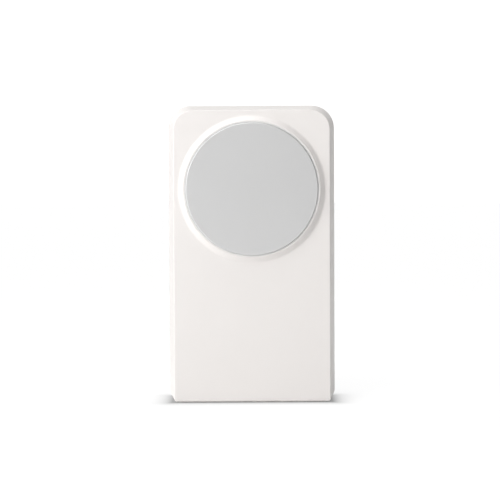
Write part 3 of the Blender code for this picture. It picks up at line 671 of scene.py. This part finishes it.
def housing_shell():
    """The rear housing, with the wiring pocket, the screw wells and the slots for the plate's hooks."""
    seam = PARTING + SEAM
    loops = [[(x, u, z) for x, z in outline(u, LEDGE)] for u in (BODY_DEPTH - BACK_WALL, seam)]
    for run, inset in SEAM_EDGE:
        loops.append([(x, seam + run, z) for x, z in outline(seam + run, inset)])
    for part in (0.3, 0.6):
        u = seam + (BODY_DEPTH - seam) * part
        loops.append([(x, u, z) for x, z in outline(u)])
    loops += edge_outlines(BODY_DEPTH, -1)[::-1]
    shape = bmesh.new()
    loft(shape, loops)
    housing = object_from("housing_shell", shape)

    half, low, high = POCKET
    skin, inner, behind = POCKET_SKIN, BODY_DEPTH - 1.0, BODY_DEPTH + 1.0
    added = bmesh.new()
    near_corner = (-half - skin, POCKET_FLOOR - skin, low - skin)
    box(added, near_corner, (half + skin, inner, high + skin), POCKET_CORNER)
    spots = [middle(node) for node in SCREWS]
    for spot in spots:
        turned(added, [(POST_RADIUS, REAR_POST_START), (POST_RADIUS, inner)], spot.x, spot.z)
    pad(added, seam + PAD_SEAM, BODY_DEPTH - PAD_SETBACK)
    combine(housing, added, "UNION")

    holes = bmesh.new()
    box(holes, (-half, POCKET_FLOOR, low), (half, behind, high), POCKET_CORNER)
    for spot in spots:
        well = [(SCREW_HOLE, POST_END + 0.5), (SCREW_HOLE, SCREW_SEAT)]
        well += [(HEAD_HOLE, SCREW_SEAT), (HEAD_HOLE, behind)]
        turned(holes, well, spot.x, spot.z)
    for side in (-1, 1):
        centre = side * HOOK_X
        slot_low = (centre - HOOK_SLOT_HALF, SCREW_SEAT, HOOK_SLOT_LOW)
        box(holes, slot_low, (centre + HOOK_SLOT_HALF, behind, HOOK_Z + 0.3), 0.8)
    tab_low = (-TAB_SLOT_HALF, TAB_SLOT_FRONT, LEDGE - 0.1)
    box(holes, tab_low, (TAB_SLOT_HALF, behind, TAB_SLOT_TOP), 0.6)
    combine(housing, holes)

    bores = bmesh.new()
    near, far = POCKET_FLOOR - skin - 1.0, POCKET_FLOOR + 1.0
    a, b = millimetres("usb_socket")
    gap = 0.4
    box(bores, (a.x - gap, near, a.z - gap), (b.x + gap, far, b.z + gap), 2.0)
    for node, radius in (("reset_button", 2.45), ("terminal_screw_1", 3.3), ("terminal_screw_2", 3.3)):
        spot = middle(node)
        turned(bores, [(radius, near), (radius, far)], spot.x, spot.z)
    spot = middle("security_screw")
    well = [(SECURITY_HEAD_HOLE, -1.0), (SECURITY_HEAD_HOLE, SECURITY_HEAD_SEAT)]
    well += [(SECURITY_HOLE, SECURITY_HEAD_SEAT), (SECURITY_HOLE, PLINTH + LEDGE + 1.0)]
    upright(bores, well, spot.x, spot.y)
    combine(housing, bores)
    finished(housing, "rear_housing", bevel=0.18)


def plate():
    """The wall plate: two hooks and a tab in front, slots for wall screws, and a hole for the wires."""
    front, back = BODY_DEPTH + PLATE_GAP, millimetres("wall_plate")[1].y
    shape = bmesh.new()
    prism(shape, outline(BODY_DEPTH, PLATE_INSET), front, back)
    thing = object_from("wall_plate_fine", shape)

    into = back - 0.5
    base, lip = HOOK_Z - HOOK_NECK, HOOK_Z + HOOK_LIP
    hook = [(into, base), (into, HOOK_Z), (HOOK_FAR, HOOK_Z)]
    hook += [(HOOK_FAR, lip), (HOOK_NEAR, lip), (HOOK_NEAR, base)]
    tab_low, tab_high = LEDGE + TAB_LOW, LEDGE + TAB_HIGH
    added = bmesh.new()
    for side in (-1, 1):
        bar(added, hook, side * HOOK_X - HOOK_HALF, side * HOOK_X + HOOK_HALF)
    box(added, (-TAB_HALF, TAB_FRONT, tab_low), (TAB_HALF, into, tab_high), 0.4)
    combine(thing, added, "UNION")

    half, low, high = POCKET
    holes = bmesh.new()
    near, far, gap = front - 1.0, back + 1.0, 1.2
    box(holes, (-half - gap, near, low - gap), (half + gap, far, high + gap), POCKET_CORNER + 1.0)
    box(holes, (-5.8, near, 109.5), (5.8, far, 114.5), WALL_SLOT_CORNER)
    box(holes, (-2.5, near, 20.5), (2.5, far, 28.5), WALL_SLOT_CORNER)
    upright(holes, [(1.3, tab_low - 1.0), (1.3, tab_high + 1.0)], 0.0, middle("security_screw").y)
    combine(thing, holes)

    # Shallow grooves across the plate's back, the lowest one in two halves
    grooves = bmesh.new()
    reach, gap = GROOVE_REACH, 6.0
    spans = ((-reach, reach, 66.0), (-reach, reach, 92.0), (-reach, -gap, 12.0), (gap, reach, 12.0))
    for x0, x1, z in spans:
        box(grooves, (x0, back - GROOVE_DEPTH, z), (x1, far, z + GROOVE_WIDTH), 0.55)
    combine(thing, grooves)
    finished(thing, "wall_plate", bevel=0.2)


# Button


def button():
    """The disc, the light ring round it and the carrier behind it."""
    low, high = DISC_LOW.y, DISC_HIGH.y
    flat = 0.6 * DISC_RADIUS
    section = [(flat, low), (DISC_RADIUS, low), (DISC_RADIUS, high), (flat, high)]
    shape = bmesh.new()
    turned(shape, rounded(section, [DISC_EDGE, 0.15], 8), sides=FINE)
    finished(object_from("disc_face", shape), "button_disc")

    flange, top = WALL + 0.3, -BOSS_HEIGHT
    rim, tube = 31.0, 29.5
    front = [(RING_INNER, RING_END), (RING_INNER, top), (RING_OUTER, top), (RING_OUTER, flange)]
    behind = [(rim, flange), (rim, flange + 0.9), (tube, flange + 0.9), (tube, RING_END)]
    shape = bmesh.new()
    turned(shape, rounded(front, [0.06, 0.02], 5) + behind, sides=FINE, closed=True)
    finished(object_from("light_ring_fine", shape), "light_ring")

    low, high = millimetres("button_carrier")
    bore, catch, wall, outer = 13.4, 24.8, 26.8, (high.x - low.x) / 2
    catch_front, floor_back = high.y - 0.9, low.y + 1.2
    dish = [(bore, low.y), (outer, low.y), (outer, high.y), (catch, high.y), (catch, catch_front)]
    dish += [(wall, catch_front), (wall, floor_back), (bore, floor_back)]
    shape = bmesh.new()
    turned(shape, closed_round(dish, 0.15, 3), sides=FINE, closed=True)
    finished(object_from("carrier_fine", shape), "button_carrier")


# Camera and speaker


def camera_module():
    """The domed lens and its barrel, with a rounded rim and grip rings."""
    low, high = millimetres("lens_glass")
    radius = (high.x - low.x) / 2
    steps, first = 12, 4
    turns = [math.radians(first + (90 - first) * i / steps) for i in range(steps + 1)]
    rise = high.y - low.y - 0.6
    dome = [(radius * math.sin(a), low.y + rise * (1 - math.cos(a))) for a in turns]
    shape = bmesh.new()
    turned(shape, dome + [(radius, high.y)], sides=96)
    finished(object_from("lens_glass_fine", shape), "lens_glass")

    low, high = millimetres("lens_barrel")
    outer = (high.x - low.x) / 2
    mouth, tube, bore = radius + 0.3, outer - 1.1, 2.4
    grip, depth = [], 0.12
    root = tube - depth
    for i in range(6):
        along = low.y + 1.35 + i * 0.55
        grip += [(tube, along), (root, along + depth), (root, along + 0.28), (tube, along + 0.4)]
    shoulder = low.y + 2.3
    inside = [(bore, high.y), (bore, shoulder), (mouth, shoulder)]
    rim = [(mouth, low.y + 0.25), (mouth + 0.25, low.y), (outer - 0.2, low.y), (outer, low.y + 0.2)]
    shape = bmesh.new()
    turned(shape, inside + rim + [(outer, low.y + 1.2)] + grip + [(tube, high.y)], sides=96, closed=True)
    finished(object_from("lens_barrel_fine", shape), "lens_barrel", bevel=0.04)


def speaker():
    """An oval driver that faces down, in its frame."""
    low, high = millimetres("speaker")
    centre = (low + high) / 2
    half_x, half_u = (high.x - low.x) / 2, (high.y - low.y) / 2
    shape = bmesh.new()
    frame_outline = closed_round(rectangle(low.x, low.y, high.x, high.y), 2.0)
    loft(shape, [[(x, u, z) for x, u in frame_outline] for z in (low.z, high.z)])
    thing = object_from("speaker_frame", shape)

    def oval(margin, z):
        reach = min(half_u, half_x) - margin
        straight = half_x - margin - reach
        points, sides = [], 64
        for i in range(sides):
            a = 2 * math.pi * i / sides
            shift = straight if math.cos(a) > 0 else -straight
            points.append((centre.x + shift + reach * math.cos(a), centre.y + reach * math.sin(a), z))
        return points

    well = bmesh.new()
    loft(well, [oval(1.4, low.z - 1.0), oval(1.4, low.z + 1.6)])
    combine(thing, well)
    finished(thing, "speaker", bevel=0.2)

    # The rolled surround, the cone and the dust cap, as margins and rises
    surround = [(1.5, 0.9), (1.7, 0.35), (2.1, 0.15), (2.5, 0.35), (2.8, 0.9)]
    cap = [(4.2, 1.2), (4.3, 0.7), (4.8, 0.45)]
    cone = bmesh.new()
    loops = [oval(margin, low.z + rise) for margin, rise in surround + cap]
    loft(cone, [oval(1.5, low.z + 1.55)] + loops)
    extra(object_from("speaker_cone", cone), "bell", "rubber")


# Screws and the pocket's small parts


def thread(radius, start, end, pitch):
    """A threaded shank's profile: teeth between a root and a crest."""
    teeth, root = [], radius * 0.84
    along = start
    while end - along > pitch:
        teeth += [(root, along), (radius, along + pitch * 0.45), (radius, along + pitch * 0.55)]
        along += pitch
    return teeth + [(root, along)]


def pan_screw(node):
    """A pan-head screw along the depth axis, its cross-recessed head towards the back."""
    low, high = millimetres(node)
    spot, head = (low + high) / 2, (high.x - low.x) / 2
    shank, seat = head * 0.45, high.y - head * 0.5
    profile = [(0.2, low.y), (shank * 0.7, low.y + 0.25)]
    profile += thread(shank, low.y + 0.4, seat - 0.2, 0.55)
    profile += [(shank, seat)]
    profile += rounded([(head, seat), (head, high.y), (0.3, high.y)], [head * 0.28], 6)
    shape = bmesh.new()
    turned(shape, profile, spot.x, spot.z, 40)
    thing = object_from(f"{node}_fine", shape)
    reach, width = head * 0.62, head * 0.14
    for a, b in ((reach, width), (width, reach)):
        slot = bmesh.new()
        prism(slot, rectangle(spot.x - a, spot.z - b, spot.x + a, spot.z + b), high.y - 0.5, high.y + 1.0)
        combine(thing, slot)
    finished(thing, node, bevel=0.06)


def security_screw():
    """An upright screw with a six-lobed socket in its head, which faces down."""
    low, high = millimetres("security_screw")
    spot, head = (low + high) / 2, (high.x - low.x) / 2
    under, shank = low.z + 1.3, 1.05
    profile = rounded([(0.2, low.z), (head, low.z), (head, under), (shank, under)], [0.35, 0.05], 5)
    profile += thread(shank, under + 0.4, high.z - 0.6, 0.5) + [(0.5, high.z)]
    shape = bmesh.new()
    upright(shape, profile, spot.x, spot.y)
    thing = object_from("security_screw_fine", shape)
    star, lobes = [], 6
    for i in range(ROUND):
        a = 2 * math.pi * i / ROUND
        reach = 0.95 + 0.2 * math.cos(lobes * a)
        star.append((spot.x + reach * math.cos(a), spot.y + reach * math.sin(a)))
    socket = bmesh.new()
    loft(socket, [[(x, u, z) for x, u in star] for z in (low.z - 1.0, low.z + 0.8)])
    combine(thing, socket)
    finished(thing, "security_screw", bevel=0.05)


def port_cover():
    """The silicone flap with its plug, its bending strip and a groove to lift it by."""
    low, high = millimetres("port_cover")
    shape = bmesh.new()
    box(shape, (low.x, 17.1, low.z), (high.x, high.y, high.z - 1.2), 2.2)
    thing = object_from("port_cover_fine", shape)
    plug = bmesh.new()
    box(plug, (-3.6, low.y, 38.3), (3.6, 17.4, 39.8), 0.7)
    combine(thing, plug, "UNION")
    strip = bmesh.new()
    box(strip, (-2.2, 17.4, 41.0), (2.2, 18.0, high.z), 0.25)
    combine(thing, strip, "UNION")
    grip = bmesh.new()
    outside = high.y + 0.2
    bar(grip, [(outside, 36.0), (high.y - 0.35, 36.5), (outside, 37.0)], -3.0, 3.0)
    combine(thing, grip)
    finished(thing, "port_cover", bevel=0.25, segments=3)


def usb_socket():
    """A flat socket's shell, with a tongue and two rows of contacts in it."""
    low, high = millimetres("usb_socket")
    centre = (low.z + high.z) / 2
    shape = bmesh.new()
    box(shape, low, high, 1.69)
    thing = object_from("usb_shell", shape)
    mouth = bmesh.new()
    skin = 0.4
    mouth_low = (low.x + skin, low.y + 0.9, low.z + skin)
    box(mouth, mouth_low, (high.x - skin, high.y + 1.0, high.z - skin), 1.29)
    combine(thing, mouth)
    finished(thing, "usb_socket", bevel=0.06)
    tongue = bmesh.new()
    box(tongue, (-3.1, low.y + 0.8, centre - 0.33), (3.1, high.y - 0.7, centre + 0.33), 0.2)
    extra(object_from("usb_tongue", tongue), "bell", "black_plastic", 0.08)
    contacts = bmesh.new()
    count, pitch = 12, 0.5
    for side in (-1, 1):
        face = centre + side * 0.35
        for i in range(count):
            x = (i - (count - 1) / 2) * pitch
            box(contacts, (x - 0.13, low.y + 1.4, face - 0.03), (x + 0.13, high.y - 0.9, face + 0.03))
    extra(object_from("usb_contacts", contacts), "bell", "brass")


def reset_button():
    """A rounded stem on a flange."""
    low, high = millimetres("reset_button")
    spot = middle("reset_button")
    flange, stem, step = (high.x - low.x) / 2, 2.1, low.y + 0.5
    section = [(flange, low.y), (flange, step), (stem, step), (stem, high.y), (0.4, high.y)]
    shape = bmesh.new()
    turned(shape, rounded(section, [0.1, 0.1, 0.3], 5), spot.x, spot.z)
    finished(object_from("reset_fine", shape), "reset_button")


def terminal_posts():
    """Two ridged sleeves that take the terminal screws."""
    for node in ("terminal_post_1", "terminal_post_2"):
        low, high = millimetres(node)
        spot, radius = (low + high) / 2, (high.x - low.x) / 2
        ridges, count = [], 5
        for i in range(count):
            start = low.y + 0.3 + (high.y - low.y - 0.6) * i / count
            ridges += [(radius, start), (radius, start + 0.3), (radius - 0.15, start + 0.42)]
        outside = [(radius - 0.2, low.y), (radius, low.y + 0.2)] + ridges
        inside = [(radius - 0.2, high.y), (2.0, high.y), (1.8, high.y - 0.2), (1.8, low.y)]
        shape = bmesh.new()
        turned(shape, outside + [(radius, high.y - 0.25)] + inside, spot.x, spot.z, closed=True)
        finished(object_from(f"{node}_fine", shape), node)


# Electronics


def mix(start, end, share):
    return start + (end - start) * share


def battery():
    """A wrapped pack whose ends draw in."""
    low, high = millimetres("battery_pack")
    section = closed_round(rectangle(low.x, low.y, high.x, high.y), 3.5, 8)
    centre_x, centre_u = (low.x + high.x) / 2, (low.y + high.y) / 2
    ends = [(low.z, 0.94), (low.z + 0.25, 0.975), (low.z + 0.9, 1.0), (high.z - 0.9, 1.0)]
    ends += [(high.z - 0.25, 0.975), (high.z, 0.94)]
    loops = []
    for z, scale in ends:
        loops.append([(mix(centre_x, x, scale), mix(centre_u, u, scale), z) for x, u in section])
    shape = bmesh.new()
    loft(shape, loops)
    finished(object_from("battery_fine", shape), "battery_pack")


def chips():
    """Small soldered parts on the free areas of the main board's rear face, as x0, z0, x1, z1."""
    face = millimetres("main_board")[1].y
    areas = (
        (-27.0, 74.0, -14.0, 84.0),
        (-8.0, 74.0, 12.0, 84.0),
        (-26.0, 88.0, -15.0, 110.0),
        (13.0, 106.0, 24.0, 111.0),
    )
    black, pale = bmesh.new(), bmesh.new()
    margin, row = 1.5, 2.0
    for x0, z0, x1, z1 in areas:
        z = z0
        while z < z1 - margin:
            x = x0
            while x < x1 - margin:
                wide, tall = DICE.uniform(0.6, 2.2), DICE.uniform(0.5, 1.4)
                thick = DICE.uniform(0.4, 0.9)
                shape = black if DICE.random() < 0.6 else pale
                box(shape, (x, face, z), (x + wide, face + thick, z + tall))
                x += wide + DICE.uniform(0.5, 1.4)
            z += row
    extra(object_from("board_chips", black), "bell", "black_plastic")
    extra(object_from("board_capacitors", pale), "bell", "brass")


def connector(node):
    """A socket with an open mouth and a row of pins."""
    low, high = millimetres(node)
    wall = 0.6
    shape = bmesh.new()
    box(shape, low, high, 0.2)
    thing = object_from(f"{node}_fine", shape)
    mouth = bmesh.new()
    mouth_low = (low.x + wall, low.y + 1.0, low.z + wall)
    box(mouth, mouth_low, (high.x - wall, high.y + 1.0, high.z - wall), 0.1)
    combine(thing, mouth)
    finished(thing, node, bevel=0.08)
    pins = bmesh.new()
    centre = (low.z + high.z) / 2
    count, half = 3, 0.2
    for i in range(count):
        x = low.x + (high.x - low.x) * (i + 1) / (count + 1)
        box(pins, (x - half, low.y + 0.9, centre - half), (x + half, high.y - 0.8, centre + half))
    extra(object_from(f"{node}_pins", pins), "bell", "brass")


def shield(node):
    """A sheet-metal can with a groove round its lid."""
    low, high = millimetres(node)
    shape = bmesh.new()
    box(shape, low, high, 0.5)
    thing = object_from(f"{node}_fine", shape)
    lid, above = high.y - 0.15, high.y + 1
    outer, inner = (
        rectangle(low.x + inset, low.z + inset, high.x - inset, high.z - inset) for inset in (1.0, 1.3)
    )
    section = ((outer, lid), (inner, lid), (inner, above), (outer, above))
    groove = bmesh.new()
    loft(groove, [[(x, u, z) for x, z in points] for points, u in section], closed=True)
    combine(thing, groove)
    finished(thing, node, bevel=0.12)


def from_cad(node, bevel):
    """The CAD node's own mesh with its edges rounded."""
    source = frame["nodes"][node]
    thing = bpy.data.objects.new(f"{node}_fine", source.data.copy())
    thing.matrix_world = source.matrix_world.copy()
    bpy.context.scene.collection.objects.link(thing)
    finished(thing, node, bevel)


def carried_over():
    """CAD nodes that no finer mesh stands for keep their shape and take their slot's finish."""
    for name, node in frame["nodes"].items():
        if node.hide_render:
            continue
        node.data.materials.clear()
        node.data.materials.append(FINISH[SLOT_OF[name]])


# Studio

WORLD_BACK = 0.6  # strengths of the surroundings behind the object and on its left
WORLD_LEFT = 0.12
WORLD_SEEN = 1.1  # and as the camera sees them
OVERHEAD = 1.09  # strengths of the two suns, in watts per square metre
SIDE_KEY = 0.95
SIDE_BOX = 0.46  # powers of the two soft boxes, in watts
HIGH_BOX = 1.36
FLOOR_LIGHT = 0.87  # emission of the floor away from the object
FOOTPRINT = (0.0345, 0.0102)  # metres, the half width and half depth that the painted shade lies round
PAINTED_SHADE = 0.62  # painted shade, taken off FLOOR_LIGHT at the object's foot
PAINTED_SHADE_REACH = 0.0039  # metres in which the painted shade fades to about a third
BOUNCE_NEAR = 0.016  # metres before or behind the object's middle where the bounce starts to rise
BOUNCE_FAR = 0.026
# painted shade: the unseen bounce table's colour near the object, darker than BOUNCE_LIGHT
BOUNCE_PAINTED_DARK = (0.92, 0.92, 0.92)
BOUNCE_LIGHT = (0.96, 0.96, 0.96)


def aimed(name, data, where, aim):
    """Hangs a lamp somewhere and turns it towards a point."""
    thing = bpy.data.objects.new(name, data)
    thing.location = where
    thing.rotation_euler = (Vector(aim) - Vector(where)).to_track_quat("-Z", "Y").to_euler()
    bpy.context.scene.collection.objects.link(thing)


def soft_box(name, where, side, power):
    """A square lamp aimed at the object's middle."""
    data = bpy.data.lights.new(name, "AREA")
    data.shape = "RECTANGLE"
    data.size, data.size_y = side, side
    data.energy = power
    aimed(name, data, where, (0.0, 0.0, 0.07))


def world():
    """A soft tent: dark in front, bright behind and a little brighter on the left.

    The camera itself sees it as plain white.
    """
    made = bpy.data.worlds.new("studio")
    bpy.context.scene.world = made
    made.use_nodes = True
    tree = made.node_tree
    background = tree.nodes["Background"]
    where = tree.nodes.new("ShaderNodeTexCoord")
    axes = tree.nodes.new("ShaderNodeSeparateXYZ")
    tree.links.new(where.outputs["Generated"], axes.inputs["Vector"])
    total = tree.nodes.new("ShaderNodeMath")
    total.operation = "ADD"
    sides = (("Y", -0.15, 0.35, WORLD_BACK), ("X", 0.2, -0.9, WORLD_LEFT))
    for target, (axis, start, end, strength) in zip(total.inputs, sides):
        part = tree.nodes.new("ShaderNodeMapRange")
        part.interpolation_type = "SMOOTHSTEP"
        tree.links.new(axes.outputs[axis], part.inputs["Value"])
        part.inputs["From Min"].default_value = start
        part.inputs["From Max"].default_value = end
        part.inputs["To Min"].default_value = 0.0
        part.inputs["To Max"].default_value = strength
        tree.links.new(part.outputs["Result"], target)
    path = tree.nodes.new("ShaderNodeLightPath")
    shown = tree.nodes.new("ShaderNodeMix")
    tree.links.new(path.outputs["Is Camera Ray"], shown.inputs["Factor"])
    tree.links.new(total.outputs["Value"], shown.inputs["A"])
    shown.inputs["B"].default_value = WORLD_SEEN
    tree.links.new(shown.outputs["Result"], background.inputs["Strength"])
    background.inputs["Color"].default_value = (1.0, 0.995, 0.99, 1.0)


def ground(name, height, material):
    """A wide flat square, which isn't part of the object."""
    reach = 30.0
    shape = bmesh.new()
    corners = rectangle(-reach, -reach, reach, reach)
    shape.faces.new([shape.verts.new((x, y, height)) for x, y in corners])
    thing = object_from(name, shape)
    thing.data.materials.append(material)
    return thing


def floor():
    """The white table that the camera sees: it glows, with a painted shade round the foot; the object's
    own shadow falls on it only faintly.
    """
    n = Nodes("floor")
    n.colour(n.noise(40.0, 2.0), (0.145, 0.145, 0.145), (0.155, 0.155, 0.155))
    n.set(Roughness=0.9, Specular_IOR_Level=0.1, Emission_Color=(1.0, 1.0, 1.0, 1.0))
    axes = n.add("ShaderNodeSeparateXYZ")
    n.join(n.where, axes.inputs["Vector"])
    squares = []
    for axis, half in zip("XY", FOOTPRINT):
        beyond = n.maths("SUBTRACT", n.maths("ABSOLUTE", axes.outputs[axis]), half)
        squares.append(n.maths("POWER", n.maths("MAXIMUM", beyond, 0.0), 2.0))
    distance = n.maths("SQRT", n.maths("ADD", *squares))
    # painted shade: the glow is taken down round the object's foot, most at the foot and fading outwards
    painted_shade_fade = n.maths("EXPONENT", n.maths("DIVIDE", distance, -PAINTED_SHADE_REACH))
    light = n.maths("MULTIPLY_ADD", painted_shade_fade, -PAINTED_SHADE, FLOOR_LIGHT)
    n.join(light, n.shader.inputs["Emission Strength"])
    thing = ground("floor", 0.0, n.material)
    thing.visible_diffuse = False
    thing.visible_glossy = False
    thing.visible_transmission = False
    thing.visible_shadow = False


def bounce():
    """An unseen table just under the floor, which throws light back up; near the object its colour is
    painted darker, a painted shade that sends less light onto the object's foot.
    """
    n = Nodes("bounce")
    axes = n.add("ShaderNodeSeparateXYZ")
    n.join(n.where, axes.inputs["Vector"])
    depth = n.maths("ABSOLUTE", axes.outputs["Y"])
    # painted shade: the bounce's colour is darker within BOUNCE_NEAR of the object's middle
    n.colour(n.spread(depth, 0.0, 1.0, BOUNCE_NEAR, BOUNCE_FAR), BOUNCE_PAINTED_DARK, BOUNCE_LIGHT)
    n.set(Roughness=0.9, Specular_IOR_Level=0.1)
    ground("bounce", -0.0002, n.material).visible_camera = False


def far_light(name, where, spread, power):
    """A sun, its disc spread over some degrees."""
    data = bpy.data.lights.new(name, "SUN")
    data.angle = math.radians(spread)
    data.energy = power
    aimed(name, data, where, (0.0, 0.0, 0.0))


def lights():
    """A sun overhead, a low one from the left, and two soft boxes on the front's left."""
    far_light("overhead", (0.0, -0.1, 1.0), 30, OVERHEAD)
    far_light("side_key", (-0.84, -0.48, 0.26), 24, SIDE_KEY)
    soft_box("side_box", (-0.35, -0.22, 0.18), 0.25, SIDE_BOX)
    soft_box("high_box", (-0.15, -0.35, 0.5), 0.3, HIGH_BOX)


def camera():
    """A long lens in front, a little above the middle, turned slightly down and to the right."""
    data = bpy.data.cameras.new("camera")
    data.lens = 101.66
    data.sensor_width = 36.0
    data.clip_start, data.clip_end = 0.01, 100.0
    thing = bpy.data.objects.new("camera", data)
    where = (-0.0025, -0.612, 0.0868)
    down, right, roll = math.radians(2.051), math.radians(0.157), math.radians(-0.265)
    turn = Matrix.Rotation(-right, 4, "Z") @ Matrix.Rotation(math.pi / 2 - down, 4, "X")
    turn = turn @ Matrix.Rotation(roll, 4, "Z")
    thing.matrix_world = Matrix.Translation(where) @ turn
    bpy.context.scene.collection.objects.link(thing)
    bpy.context.scene.camera = thing


cover_shell()
housing_shell()
plate()
button()
camera_module()
speaker()
for name in SCREWS + BOARD_SCREWS + ["terminal_screw_1", "terminal_screw_2"]:
    pan_screw(name)
security_screw()
port_cover()
usb_socket()
reset_button()
terminal_posts()
battery()
chips()
for name in ("battery_connector", "speaker_connector"):
    connector(name)
for name in ("processor_shield", "wifi_module"):
    shield(name)
for name in ("port_cover_anchor", "camera_holder", "button_switch_1", "button_switch_2", "microphone"):
    from_cad(name, 0.2)
for name in ("main_board", "power_board", "camera_board"):
    from_cad(name, 0.08)
for name in ("image_sensor", "infrared_led_1", "infrared_led_2"):
    from_cad(name, 0.08)
carried_over()
world()
floor()
bounce()
lights()
camera()
bpy.context.scene.view_settings.view_transform = "Standard"
